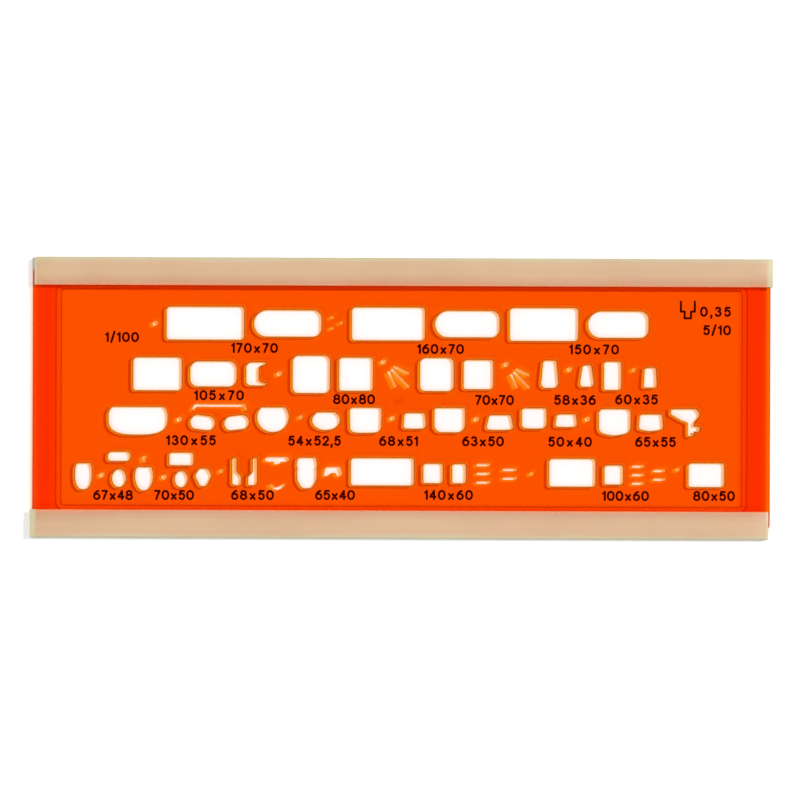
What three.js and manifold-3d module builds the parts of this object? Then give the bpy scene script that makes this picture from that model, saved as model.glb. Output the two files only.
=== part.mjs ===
// Drafting template: a moulded, see-through plate with the figures of sanitary fixtures cut
// through its thin field, and two plastic rails pushed onto the plate's long edges.
// Millimetres, +Z up. The origin lies on the drawing surface under the middle of the plate,
// +X runs along the rails, and the figures read upright along +Y.

import * as THREE from 'three';
import { mergeVertices } from 'three/addons/utils/BufferGeometryUtils.js';
import Module from 'manifold-3d';

// The plate: a thin field inside a thicker border, with a sloped step between the two.
const FIELD_THICKNESS = 1.1;
const STEP_HEIGHT = 0.5;
const STEP_SLOPE = 1.35;
const FIELD_CORNER = 0.6;
const END_BORDER = 5.2;
const SIDE_BORDER = 4.4;
const PLATE_CORNER = 1.8;

// Plain field left beside the longest row of figures and under the lowest one.
const RIGHT_MARGIN = 3.75;
const FOOT_MARGIN = 3.2;

// The rails: a U-shaped strip that grips the border, with lips that thin towards their edge.
const LIP_THICKNESS = 0.85;
const LIP_THINNING = 0.25;
const LIP_SLOPE = 2.2;
const LIP_EDGE_ROUND = 0.15;
const GROOVE_DEPTH = 4.8;
const RAIL_BACK = 1.45;
const RAIL_BACK_ROUND = 0.4;
const RAIL_OVERLENGTH = 0.2;
const RAIL_SLIP = 0.45;

// Clearances of the border in the groove: at each face, and at the bottom of the groove.
const GROOVE_FACE_CLEARANCE = 0.1;
const GROOVE_END_CLEARANCE = 0.2;

// The cut-outs: each is wider than the drawn line by the pen's allowance, and opens upwards.
const PEN_ALLOWANCE = 0.1;
const CUT_DRAFT = 0.25;
const LINE_WIDTH = 0.1;
const PIN = 0.6;
const SMALL_PIN = 0.4;
const TAP_PIN = 0.2;

// Corners of the drawn figures.
const BATH_CORNER = 0.65;
const TUB_FOOT_CORNER = 1.7;
const TRAY_CORNER = 1.15;
const TRAY_FLOOR_CORNER = 0.55;
const SINK_CORNER = 0.5;
const BOWL_CORNER = 0.4;

// A shower's spray: three rays that spread from the rose.
const SPRAY_START = 2.7;
const SPRAY_SIDE_SHARE = 0.77;
const SPRAY_AIM = -Math.PI / 4;
const SPRAY_SPREAD = Math.PI / 9;

// How finely curves are divided, and how far a cutter runs out of the plate.
const ARC_STEP = Math.PI / 8;
const PIN_SIDES = 12;
const OVAL_STEPS = 18;
const CAP_STEPS = 4;
const CUT_OVERRUN = 0.2;
const MERGE_DISTANCE = 1e-4;

const wasm = await Module();
wasm.setup();

/** Points of a closed outline without neighbours that lie on one another. */
function withoutRepeats(points) {
  return points.filter((point, i) => point.distanceTo(points.at(i - 1)) > MERGE_DISTANCE);
}

/** Outline of a polygon whose corners, as [x, y, radius], are rounded by arcs. */
function roundedPolygon(corners) {
  const points = corners.flatMap(([x, y, radius = 0], i) => {
    const corner = new THREE.Vector2(x, y);
    if (radius === 0) return [corner];
    const [beforeX, beforeY] = corners.at(i - 1);
    const [afterX, afterY] = corners[(i + 1) % corners.length];
    const before = new THREE.Vector2(beforeX, beforeY).sub(corner);
    const after = new THREE.Vector2(afterX, afterY).sub(corner);
    const half = before.angleTo(after) / 2;
    const reach = Math.min(radius / Math.tan(half), before.length() / 2, after.length() / 2);
    const arcRadius = reach * Math.tan(half);
    const bisector = before.normalize().clone().add(after.normalize()).normalize();
    const centre = bisector.multiplyScalar(arcRadius / Math.sin(half)).add(corner);
    const first = before.multiplyScalar(reach).add(corner).sub(centre).angle();
    const last = after.multiplyScalar(reach).add(corner).sub(centre).angle();
    const turn = Math.atan2(Math.sin(last - first), Math.cos(last - first));
    const steps = Math.max(1, Math.ceil(Math.abs(turn) / ARC_STEP));
    return Array.from({ length: steps + 1 }, (_, k) => {
      const angle = first + (turn * k) / steps;
      return new THREE.Vector2(Math.cos(angle), Math.sin(angle)).multiplyScalar(arcRadius).add(centre);
    });
  });
  return withoutRepeats(points);
}

/** Outline of a box centred on the origin. */
function box(width, depth, corner) {
  const x = width / 2;
  const y = depth / 2;
  return roundedPolygon([[-x, -y, corner], [x, -y, corner], [x, y, corner], [-x, y, corner]]);
}

/** Outline of a bath's hollow: a round head on the left, rounded corners at the foot. */
function tub(width, depth) {
  const x = width / 2;
  const y = depth / 2;
  return roundedPolygon([[-x, -y, y], [x, -y, TUB_FOOT_CORNER], [x, y, TUB_FOOT_CORNER], [-x, y, y]]);
}

/** Outline that widens from its top to its foot, whose foot bows out in the middle. */
function basin({ top, width, depth, topCorner, footCorner, bow = 0 }) {
  const y = depth / 2;
  const foot = -y + bow;
  return roundedPolygon([
    [-top / 2, y, topCorner],
    [-width / 2, foot, footCorner],
    [0, -y, bow === 0 ? 0 : width * 2],
    [width / 2, foot, footCorner],
    [top / 2, y, topCorner],
  ]);
}

/**
 * Outline of an oval cut off flat at its top: x = a cos(t)^(2/n), y = b sin(t)^(2/n), where n is
 * the squareness, from one end of the flat top round the foot to the other.
 */
function cutOval(width, depth, flat, squareness = 2) {
  const power = 2 / squareness;
  const topAngle = Math.acos((flat / width) ** (1 / power));
  const topRise = Math.sin(topAngle) ** power;
  const b = depth / (1 + topRise);
  const bend = (value) => Math.sign(value) * Math.abs(value) ** power;
  const points = Array.from({ length: OVAL_STEPS + 1 }, (_, k) => {
    const angle = topAngle - ((Math.PI + 2 * topAngle) * k) / OVAL_STEPS;
    return new THREE.Vector2((width / 2) * bend(Math.cos(angle)), b * bend(Math.sin(angle)));
  });
  return withoutRepeats(points);
}

/** Outline of a round pin hole centred on [x, y]. */
function pin(size, x = 0, y = 0) {
  const points = new THREE.Path().absarc(x, y, size / 2, 0, 2 * Math.PI).getSpacedPoints(PIN_SIDES);
  return points.slice(0, PIN_SIDES);
}

/** Outline of a drawn line along a path of [x, y] points, with round ends. */
function stroke(path) {
  const spine = path.map(([x, y]) => new THREE.Vector2(x, y));
  const headings = spine.map((point, i) => {
    const before = spine[Math.max(i - 1, 0)];
    const after = spine[Math.min(i + 1, spine.length - 1)];
    return after.clone().sub(before).angle();
  });
  const beside = (i, angle) => new THREE.Vector2(Math.cos(angle), Math.sin(angle))
    .multiplyScalar(LINE_WIDTH / 2)
    .add(spine[i]);
  const cap = (i, heading) => Array.from({ length: CAP_STEPS + 1 }, (_, k) => {
    return beside(i, heading - Math.PI / 2 + (Math.PI * k) / CAP_STEPS);
  });
  const inner = spine.map((_, i) => i).slice(1, -1);
  const last = spine.length - 1;
  return [
    ...inner.map((i) => beside(i, headings[i] - Math.PI / 2)),
    ...cap(last, headings[last]),
    ...inner.toReversed().map((i) => beside(i, headings[i] + Math.PI / 2)),
    ...cap(0, headings[0] + Math.PI),
  ];
}

/** The outline turned about the origin and then moved. */
function placed(outline, x, y, angle = 0) {
  const origin = new THREE.Vector2();
  const shift = new THREE.Vector2(x, y);
  return outline.map((point) => point.clone().rotateAround(origin, angle).add(shift));
}

/** A shower's rose and its spray of three rays, the middle one the longest. */
function spray(length) {
  const ray = (angle, end) => stroke([
    [SPRAY_START * Math.cos(angle), SPRAY_START * Math.sin(angle)],
    [end * Math.cos(angle), end * Math.sin(angle)],
  ]);
  return [
    pin(PIN),
    ray(SPRAY_AIM, length),
    ray(SPRAY_AIM - SPRAY_SPREAD, length * SPRAY_SIDE_SHARE),
    ray(SPRAY_AIM + SPRAY_SPREAD, length * SPRAY_SIDE_SHARE),
  ];
}

/** A stack of level lines, as a sink's drainer is drawn. */
function drainer(count, length, pitch) {
  return Array.from({ length: count }, (_, k) => stroke([[0, -k * pitch], [length, -k * pitch]]));
}

/** The three taps at the end of a bath. */
function bathTaps() {
  const apart = 2.4;
  const ahead = 2.1;
  return [pin(TAP_PIN, 0, apart / 2), pin(TAP_PIN, 0, -apart / 2), pin(TAP_PIN, ahead, 0)];
}

/** A hip bath's seat: a block hollowed on its right between two horns. */
function seat(width, depth) {
  const x = width / 2;
  const y = depth / 2;
  const horn = 0.25;
  const hollow = 0.45;
  const shoulder = 0.75;
  return roundedPolygon([
    [x, y], [-x, y, 1], [-x, -y, 1], [x, -y],
    [x, -y + horn], [hollow, -y + shoulder, 0.8], [hollow, y - shoulder, 0.8], [x, y - horn],
  ]);
}

/** Two tilted bowls side by side with a rail over them whose ends turn down. */
function twinBowls() {
  const apart = 7.6;
  const tilt = 0.12;
  const bowl = box(5.15, 2.9, 1.35);
  const railHeight = 3.9;
  const railReach = 5.4;
  const end = 0.4;
  const rail = [
    [-railReach - end, railHeight - 2 * end],
    [-railReach, railHeight],
    [railReach, railHeight],
    [railReach + end, railHeight - 2 * end],
  ];
  return [placed(bowl, -apart / 2, 0, -tilt), placed(bowl, apart / 2, 0, tilt), stroke(rail)];
}

/** A tap seen from its side: a spout, a body that bulges at the back, a stem and a knob. */
function sideTap() {
  return roundedPolygon([
    [-3.1, 2.9], [2.3, 2.9, 0.6], [3.1, 1.75, 0.8], [1.65, 0, 0.3], [1.65, -1.05],
    [2.4, -1.05, 0.3], [3, -1.05, 0.5], [3, -1.95, 0.5], [2.4, -1.95, 0.3], [1.65, -1.8],
    [1.65, -2.9, 0.3], [0.65, -2.9, 0.3], [0.65, 0.1], [-0.9, 0.65, 1.5], [-3.1, 1.95],
  ]);
}

/** A cistern against the wall and the seat in front of it. */
function cisternAndSeat(cistern, seatWidth, seatDepth, seatFoot) {
  const flat = 0.4;
  return [cistern, placed(cutOval(seatWidth, seatDepth, flat), 0, seatFoot)];
}

/** A pan with its flush pipe, a hole with a short tail, on the wall above it. */
function panAndPipe() {
  const pipeHeight = 4.1;
  const tail = 0.7;
  return [
    cutOval(3.7, 5, 2.95),
    pin(SMALL_PIN, 0, pipeHeight),
    stroke([[0, pipeHeight], [0, pipeHeight - tail]]),
  ];
}

/** A bidet: a flat back, widest behind its middle, and a narrow round front. */
function bidet() {
  return roundedPolygon([
    [0.8, 1.8, 0.3], [-0.8, 1.8, 0.3], [-1.7, 0.45, 0.9],
    [-0.6, -1.9, 0.7], [0.6, -1.9, 0.7], [1.7, 0.45, 0.9],
  ]);
}

/** The two foot rests of a squat pan, each a strip that widens inwards at its front. */
function footRests() {
  const top = 2.95;
  const outer = 2.6;
  const strip = 2;
  const inner = 0.95;
  const rest = (side) => roundedPolygon([
    [side * outer, top, 0.2], [side * outer, -top, 0.6], [side * inner, -top, 0.25],
    [side * inner, -1.2, 0.2], [side * strip, -0.1, 0.3], [side * strip, top, 0.2],
  ]);
  return [rest(-1), rest(1)];
}

/** A wall bracket with a nub under its middle, and a curved line below it. */
function bracketAndCurve() {
  const curveDrop = 6.1;
  const curveReach = 1.4;
  const curveSag = 0.7;
  const curve = Array.from({ length: 7 }, (_, k) => {
    const share = (k - 3) / 3;
    return [curveReach * share, -curveDrop - curveSag * (1 - share * share)];
  });
  const bracket = roundedPolygon([
    [-2.1, 0], [-2.5, -0.35, 0.1], [-2.1, -0.55], [-0.6, -0.55], [-0.4, -1.15, 0.1],
    [0.4, -1.15, 0.1], [0.6, -0.55], [2.1, -0.55], [2.5, -0.35, 0.1], [2.1, 0],
  ]);
  return [bracket, stroke(curve)];
}

/** A urinal: a back that swells and narrows to a notch, and a round bowl below it. */
function urinal() {
  return roundedPolygon([
    [1.85, 3.3, 0.2], [-1.85, 3.3, 0.2], [-2.15, 1.9, 0.5], [-1.9, 0.95, 0.15],
    [-2.05, 0.4, 0.4], [-1.95, -1.6, 1.5], [-1, -3.3, 1.2],
    [1, -3.3, 1.2], [1.95, -1.6, 1.5], [2.05, 0.4, 0.4], [1.9, 0.95, 0.15], [2.15, 1.9, 0.5],
  ]);
}

/** An arched bracket on two short legs. */
function arch() {
  return roundedPolygon([
    [-1.4, 0.8, 0.2], [-1.8, -0.75, 0.15], [-1.2, -0.75, 0.15], [-0.6, 0, 0.5],
    [0.6, 0, 0.5], [1.2, -0.75, 0.15], [1.8, -0.75, 0.15], [1.4, 0.8, 0.2],
  ]);
}

// The rows of figures from the top. A row's drop is from the row above to its top line, and its
// indent is from the field's left edge. A figure's gap is from the figure before it, and its
// drop is from the row's top line to its own top. Sizes are those of the drawn figure.
const BATHS = {
  drop: 3.75,
  indent: 20.45,
  figures: [
    { gap: 0, drop: 3.35, cuts: [pin(PIN)] },
    { gap: 2.4, drop: 0, cuts: [box(17, 7.15, BATH_CORNER)] },
    { gap: 2.55, drop: 0.7, cuts: [tub(14.75, 5.7)] },
    { gap: 2.4, drop: 2.1, cuts: bathTaps() },
    { gap: 2.45, drop: 0, cuts: [box(16, 7.15, BATH_CORNER)] },
    { gap: 2.6, drop: 0.7, cuts: [tub(14.1, 5.7)] },
    { gap: 2.6, drop: 0, cuts: [box(15, 7.15, BATH_CORNER)] },
    { gap: 2.5, drop: 0.7, cuts: [tub(13.2, 5.7)] },
  ],
};

const SHOWERS = {
  drop: 10.85,
  indent: 16.05,
  figures: [
    { gap: 0, drop: 0.5, cuts: [box(10.5, 7.15, BATH_CORNER)] },
    { gap: 2.25, drop: 1.35, cuts: [box(10.05, 5.4, 1.6)] },
    { gap: 2.45, drop: 1.55, cuts: [seat(4.05, 4.95)] },
    { gap: 2.9, drop: 3.65, cuts: [pin(PIN)] },
    { gap: 2.85, drop: 0, cuts: [box(8, 8.15, TRAY_CORNER)] },
    { gap: 2.4, drop: 0.4, cuts: [box(7.2, 7.2, TRAY_FLOOR_CORNER)] },
    { gap: 2.25, drop: 0.9, cuts: spray(7.8) },
    { gap: 2.75, drop: 0.4, cuts: [box(7.2, 7.2, TRAY_CORNER)] },
    { gap: 2.55, drop: 0.85, cuts: [box(6.3, 6.3, TRAY_FLOOR_CORNER)] },
    { gap: 2.7, drop: 1.4, cuts: spray(7.15) },
    {
      gap: 2.95,
      drop: 0.9,
      cuts: [basin({ top: 2.6, width: 3.65, depth: 6.05, topCorner: 0.4, footCorner: 1.2, bow: 0.3 })],
    },
    { gap: 2.4, drop: 2.45, cuts: [pin(PIN)] },
    {
      gap: 2.2,
      drop: 1.9,
      cuts: [basin({ top: 1.6, width: 2.95, depth: 4.7, topCorner: 0.4, footCorner: 0.8, bow: 0.2 })],
    },
    { gap: 2.6, drop: 1.1, cuts: [box(3.55, 6.1, BOWL_CORNER)] },
    { gap: 2.75, drop: 2.6, cuts: [pin(SMALL_PIN)] },
    {
      gap: 2.2,
      drop: 2.45,
      cuts: [basin({ top: 2.15, width: 2.65, depth: 4.2, topCorner: 0.3, footCorner: 0.35 })],
    },
  ],
};

const WASHBASINS = {
  drop: 11.6,
  indent: 10.55,
  figures: [
    { gap: 0, drop: 0, cuts: [cutOval(12.9, 6, 11.5, 2.9)] },
    { gap: 2.5, drop: 2.35, cuts: [pin(PIN)] },
    { gap: 2.35, drop: -0.6, cuts: twinBowls() },
    { gap: 2.2, drop: 0, cuts: [cutOval(6.75, 5.3, 5.2)] },
    { gap: 2.65, drop: 1.85, cuts: [pin(SMALL_PIN)] },
    { gap: 2.5, drop: 1.05, cuts: [cutOval(5.9, 3.75, 3.7)] },
    {
      gap: 2.5,
      drop: 0,
      cuts: [basin({ top: 6.8, width: 6.6, depth: 5.5, topCorner: 0.5, footCorner: 1.1, bow: 0.3 })],
    },
    { gap: 2.35, drop: 1.9, cuts: [pin(PIN)] },
    {
      gap: 2.3,
      drop: 1.15,
      cuts: [basin({ top: 4.2, width: 4.8, depth: 3.3, topCorner: 0.3, footCorner: 0.6, bow: 0.1 })],
    },
    {
      gap: 2.25,
      drop: 0,
      cuts: [basin({ top: 6.5, width: 6.5, depth: 5.45, topCorner: 0.3, footCorner: 1.5, bow: 0.5 })],
    },
    { gap: 2.4, drop: 2.05, cuts: [pin(PIN)] },
    {
      gap: 2.2,
      drop: 1.55,
      cuts: [basin({ top: 4.5, width: 5.8, depth: 3.25, topCorner: 0.3, footCorner: 0.5, bow: 0.35 })],
    },
    {
      gap: 2.25,
      drop: 0,
      cuts: [basin({ top: 5.2, width: 5.2, depth: 4.4, topCorner: 0.35, footCorner: 0.9, bow: 0.25 })],
    },
    {
      gap: 2.35,
      drop: 1.3,
      cuts: [basin({ top: 3.9, width: 4.6, depth: 2.65, topCorner: 0.3, footCorner: 0.5, bow: 0.1 })],
    },
    { gap: 2.2, drop: 1.95, cuts: [pin(PIN)] },
    {
      gap: 2.45,
      drop: 0.1,
      cuts: [basin({ top: 6.75, width: 6.7, depth: 5.95, topCorner: 0.8, footCorner: 1.2, bow: 1 })],
    },
    {
      gap: 2.2,
      drop: 1.25,
      cuts: [basin({ top: 4.6, width: 5.15, depth: 3.7, topCorner: 0.3, footCorner: 0.5, bow: 0.65 })],
    },
    { gap: 2.1, drop: 0.05, cuts: [sideTap()] },
  ],
};

const CLOSETS_AND_SINKS = {
  drop: 10.05,
  indent: 3.1,
  figures: [
    { gap: 0, drop: 2.6, cuts: [cutOval(3.45, 5.6, 2.75, 2.4)] },
    { gap: 2.1, drop: 4.8, cuts: [pin(PIN)] },
    { gap: 1.2, drop: 0, cuts: cisternAndSeat(box(4.7, 1.85, 0.7), 2.8, 3.75, -4.85) },
    { gap: 1.4, drop: 1, cuts: panAndPipe() },
    { gap: 2.35, drop: 5.2, cuts: [pin(PIN)] },
    { gap: 1, drop: 0.15, cuts: cisternAndSeat(box(5.05, 2.6, 0.35), 2.55, 3.4, -4.5) },
    { gap: 0.85, drop: 3.7, cuts: [bidet()] },
    { gap: 2.25, drop: 3.9, cuts: [pin(SMALL_PIN)] },
    { gap: 2.4, drop: 1.25, cuts: footRests() },
    { gap: 2.25, drop: 1.15, cuts: bracketAndCurve() },
    { gap: 2.1, drop: 1.2, cuts: [urinal()] },
    { gap: 1.95, drop: 3.35, cuts: [arch()] },
    { gap: 2.4, drop: 1.2, cuts: [box(13.75, 5.9, SINK_CORNER)] },
    { gap: 2.45, drop: 2.4, cuts: [box(4, 4.15, BOWL_CORNER)] },
    { gap: 2.45, drop: 2.45, cuts: [box(2.75, 4.1, BOWL_CORNER)] },
    { gap: 2.8, drop: 2.45, cuts: drainer(3, 2.5, 1.95) },
    { gap: 3.3, drop: 3.5, cuts: drainer(2, 2.5, 1.95) },
    { gap: 3.35, drop: 4.25, cuts: [pin(SMALL_PIN)] },
    { gap: 3.9, drop: 1.2, cuts: [box(10, 6, SINK_CORNER)] },
    { gap: 2.35, drop: 2.65, cuts: [box(3.85, 4.05, BOWL_CORNER)] },
    { gap: 2.4, drop: 2.65, cuts: drainer(3, 2.1, 1.9) },
    { gap: 2.6, drop: 3.6, cuts: drainer(2, 2.05, 1.95) },
    { gap: 2.8, drop: 3.2, cuts: [pin(SMALL_PIN)] },
    { gap: 2.4, drop: 2.1, cuts: [box(7.65, 5.1, SINK_CORNER)] },
  ],
};

/** The rows' outlines, set out from the field's upper left corner, and the field's size. */
function setOut(rows) {
  const outlines = [];
  let length = 0;
  let width = 0;
  let rowTop = 0;
  for (const row of rows) {
    rowTop -= row.drop;
    let edge = row.indent;
    for (const { gap, drop, cuts } of row.figures) {
      const bounds = new THREE.Box2().setFromPoints(cuts.flat());
      const shiftX = edge + gap - bounds.min.x;
      const shiftY = rowTop - drop - bounds.max.y;
      outlines.push(...cuts.map((outline) => placed(outline, shiftX, shiftY)));
      edge = bounds.max.x + shiftX;
      width = Math.max(width, -bounds.min.y - shiftY);
    }
    length = Math.max(length, edge);
  }
  return { outlines, length: length + RIGHT_MARGIN, width: width + FOOT_MARGIN };
}

/** The solid of a closed geometry. */
function solidOf(geometry) {
  geometry.deleteAttribute('normal');
  geometry.deleteAttribute('uv');
  const merged = mergeVertices(geometry, MERGE_DISTANCE);
  return new wasm.Manifold(new wasm.Mesh({
    numProp: 3,
    vertProperties: merged.getAttribute('position').array,
    triVerts: new Uint32Array(merged.getIndex().array),
  }));
}

/** The geometry of a solid. */
function geometryOf(solid) {
  const mesh = solid.getMesh();
  const geometry = new THREE.BufferGeometry();
  geometry.setAttribute('position', new THREE.BufferAttribute(mesh.vertProperties, 3));
  geometry.setIndex(new THREE.BufferAttribute(mesh.triVerts, 1));
  geometry.computeVertexNormals();
  return geometry;
}

/**
 * A cutter whose outline is widened by `start` at the level `from` and by `growth` more at the
 * level `to`, carried on at the same slope `below` under the first level and out over the second.
 */
function draftedCutter(outline, { from, to, start, growth, below }) {
  const slope = growth / (to - from);
  const height = to + CUT_OVERRUN - from + below;
  const cutter = new THREE.ExtrudeGeometry(new THREE.Shape(outline), {
    depth: CUT_OVERRUN,
    bevelThickness: height,
    bevelSize: slope * height,
    bevelOffset: start - slope * below,
    bevelSegments: 1,
  });
  return solidOf(cutter.translate(0, 0, to + CUT_OVERRUN));
}

const field = setOut([BATHS, SHOWERS, WASHBASINS, CLOSETS_AND_SINKS]);
const borderThickness = FIELD_THICKNESS + STEP_HEIGHT;
const plateLength = field.length + 2 * (STEP_SLOPE + END_BORDER);
const plateWidth = field.width + 2 * (STEP_SLOPE + SIDE_BORDER);
const railLength = plateLength + RAIL_OVERLENGTH;
const grooveHeight = borderThickness + 2 * GROOVE_FACE_CLEARANCE;
const railHeight = grooveHeight + 2 * LIP_THICKNESS;

/** The plate: its border, the field sunk into it and the figures cut through the field. */
function plateGeometry() {
  const blank = new THREE.ExtrudeGeometry(new THREE.Shape(box(plateLength, plateWidth, PLATE_CORNER)), {
    depth: borderThickness,
    bevelEnabled: false,
  });
  const recess = draftedCutter(box(field.length, field.width, FIELD_CORNER), {
    from: FIELD_THICKNESS,
    to: borderThickness,
    start: 0,
    growth: STEP_SLOPE,
    below: 0,
  });
  const cutters = field.outlines.map((outline) => {
    return draftedCutter(placed(outline, -field.length / 2, field.width / 2), {
      from: 0,
      to: FIELD_THICKNESS,
      start: PEN_ALLOWANCE,
      growth: CUT_DRAFT,
      below: CUT_OVERRUN,
    });
  });
  return geometryOf([recess, ...cutters].reduce((plate, cutter) => plate.subtract(cutter), solidOf(blank)));
}

/** A rail on the edge towards +Y (side 1) or -Y (side -1), made of its section run along X. */
function railGeometry(side) {
  const grooveEnd = plateWidth / 2 + GROOVE_END_CLEARANCE;
  const lipEdge = grooveEnd - GROOVE_DEPTH;
  const slopeStart = lipEdge + LIP_SLOPE;
  const back = grooveEnd + RAIL_BACK;
  const grooveFloor = LIP_THICKNESS;
  const grooveRoof = LIP_THICKNESS + grooveHeight;
  const section = roundedPolygon([
    [side * back, 0, RAIL_BACK_ROUND],
    [side * back, railHeight, RAIL_BACK_ROUND],
    [side * slopeStart, railHeight],
    [side * lipEdge, railHeight - LIP_THINNING, LIP_EDGE_ROUND],
    [side * lipEdge, grooveRoof],
    [side * grooveEnd, grooveRoof],
    [side * grooveEnd, grooveFloor],
    [side * lipEdge, grooveFloor],
    [side * lipEdge, LIP_THINNING, LIP_EDGE_ROUND],
    [side * slopeStart, 0],
  ]);
  const strip = new THREE.ExtrudeGeometry(new THREE.Shape(section), { depth: railLength, bevelEnabled: false });
  const acrossUpAlong = new THREE.Matrix4().makeBasis(
    new THREE.Vector3(0, 1, 0),
    new THREE.Vector3(0, 0, 1),
    new THREE.Vector3(1, 0, 0),
  );
  return strip.translate(0, 0, -railLength / 2).applyMatrix4(acrossUpAlong);
}

const orangePlastic = new THREE.MeshStandardMaterial({
  color: '#fc5000',
  roughness: 0.2,
  metalness: 0,
  transparent: true,
  opacity: 0.75,
});
const ivoryPlastic = new THREE.MeshStandardMaterial({ color: '#dcc39e', roughness: 0.4, metalness: 0 });

const plate = new THREE.Mesh(plateGeometry(), orangePlastic);
plate.name = 'template_plate';
plate.position.z = LIP_THICKNESS + GROOVE_FACE_CLEARANCE;

const upperRail = new THREE.Mesh(railGeometry(1), ivoryPlastic);
upperRail.name = 'upper_rail';
upperRail.position.x = RAIL_SLIP;

const lowerRail = new THREE.Mesh(railGeometry(-1), ivoryPlastic.clone());
lowerRail.name = 'lower_rail';
lowerRail.position.x = -RAIL_SLIP;

const template = new THREE.Group();
template.name = 'drafting_template';
template.add(plate, upperRail, lowerRail);

export default template;
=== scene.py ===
"""See-through orange drafting template with two ivory push-on rails.

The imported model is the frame. The plate, the rails and the printed numerals are surfaces worked
out with numpy from the frame's own flat faces. Sizes here are in millimetres, and the meshes take
them in metres.
"""

import logging
import math
from dataclasses import dataclass, field
from enum import Enum

import bmesh
import bpy
import numpy as np
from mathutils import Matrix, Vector
from mathutils.geometry import delaunay_2d_cdt

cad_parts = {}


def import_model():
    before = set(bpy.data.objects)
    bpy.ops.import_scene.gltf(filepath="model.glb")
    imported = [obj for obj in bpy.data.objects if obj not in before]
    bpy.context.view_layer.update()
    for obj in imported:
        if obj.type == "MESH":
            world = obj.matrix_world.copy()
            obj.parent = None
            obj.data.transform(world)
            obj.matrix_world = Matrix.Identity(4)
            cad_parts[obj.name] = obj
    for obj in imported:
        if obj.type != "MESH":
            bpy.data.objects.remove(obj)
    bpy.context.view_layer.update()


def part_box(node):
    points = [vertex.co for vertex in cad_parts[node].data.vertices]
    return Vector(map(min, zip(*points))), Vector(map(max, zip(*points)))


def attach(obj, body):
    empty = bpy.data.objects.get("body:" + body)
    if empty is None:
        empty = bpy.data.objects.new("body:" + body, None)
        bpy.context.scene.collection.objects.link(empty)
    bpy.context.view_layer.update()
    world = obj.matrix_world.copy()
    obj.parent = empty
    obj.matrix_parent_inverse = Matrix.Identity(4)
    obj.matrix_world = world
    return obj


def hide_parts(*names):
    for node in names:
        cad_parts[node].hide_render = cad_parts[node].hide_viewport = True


MM = 0.001
SHARP_TURN = math.radians(40)
SPECK = 0.03
ON_LEVEL = 1e-3
SAME_PLACE = 1e-6
ARC_STEP = 15.0
FILL_INSIDE = 1

Array = np.ndarray
Pair = tuple[float, float]
Rows = tuple[Pair, ...]
Colour = tuple[float, float, float, float]
Socket = bpy.types.NodeSocket
Feed = bpy.types.NodeSocket | float | tuple[float, ...]

WHITE: Colour = (1.0, 1.0, 1.0, 1.0)
BLACK: Colour = (0.0, 0.0, 0.0, 1.0)

log = logging.getLogger("template")


def linear(red: float, green: float, blue: float) -> Colour:
    """Turns a screen colour into the linear colour that a shader takes, by the sRGB curve.

    Args:
        red: Red from 0 to 255.
        green: Green from 0 to 255.
        blue: Blue from 0 to 255.

    Returns:
        The linear colour, with an alpha of 1.
    """
    level = np.array([red, green, blue]) / 255
    straight = np.where(level <= 0.04045, level / 12.92, ((level + 0.055) / 1.055) ** 2.4)
    return (*straight.tolist(), 1.0)


class Side(Enum):
    """The long edge of the plate that a rail sits on, by the name of its node and body."""

    UPPER = "upper_rail"
    LOWER = "lower_rail"


class Slot(Enum):
    """The record's material slots."""

    ORANGE = "orange_plastic"
    IVORY = "ivory_plastic"


def offset_ring(ring: Array, distance: float) -> Array:
    """Moves an anticlockwise ring outwards by one distance.

    With the unit normals a and b of the two chords at a point, the point moves by
    distance times (a + b) / (1 + a.b), so every chord moves by exactly the distance.

    Args:
        ring: Points of the ring, N by 2.
        distance: How far outwards; inwards where it is negative.

    Returns:
        The moved points, N by 2.
    """
    chord = np.roll(ring, -1, axis=0) - ring
    ahead = chord / np.linalg.norm(chord, axis=1, keepdims=True)
    normal = np.stack([ahead[:, 1], -ahead[:, 0]], axis=1)
    before = np.roll(normal, 1, axis=0)
    meet = np.sum(normal * before, axis=1, keepdims=True)
    return ring + distance * (normal + before) / (1 + meet)


def smooth_ring(ring: Array, steps: int) -> Array:
    """Rounds the arcs of a ring, which come as short chords.

    Each chord becomes a cubic Hermite curve between its ends. The direction at a point is that
    of its two chords, weighted by the cubes of their lengths, so a long straight stays straight
    and the arc leaves it tangent. A corner that turns more than SHARP_TURN stays a corner.

    Args:
        ring: Points of the ring, N by 2.
        steps: Points for each chord.

    Returns:
        N times steps points, by 2.
    """
    stop = np.roll(ring, -1, axis=0)
    chord = stop - ring
    length = np.linalg.norm(chord, axis=1, keepdims=True)
    ahead = chord / length
    behind = np.roll(ahead, 1, axis=0)
    weight = length**3
    mean = behind * np.roll(weight, 1, axis=0) + ahead * weight
    mean = mean / np.linalg.norm(mean, axis=1, keepdims=True)
    sharp = np.sum(ahead * behind, axis=1, keepdims=True) < math.cos(SHARP_TURN)
    leave = (np.where(sharp, ahead, mean) * length)[:, None]
    arrive = (np.roll(np.where(sharp, behind, mean), -1, axis=0) * length)[:, None]
    t = (np.arange(steps) / steps)[None, :, None]
    curve = (
        (2 * t**3 - 3 * t**2 + 1) * ring[:, None]
        + (t**3 - 2 * t**2 + t) * leave
        + (3 * t**2 - 2 * t**3) * stop[:, None]
        + (t**3 - t**2) * arrive
    )
    return curve.reshape(-1, 2)


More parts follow.
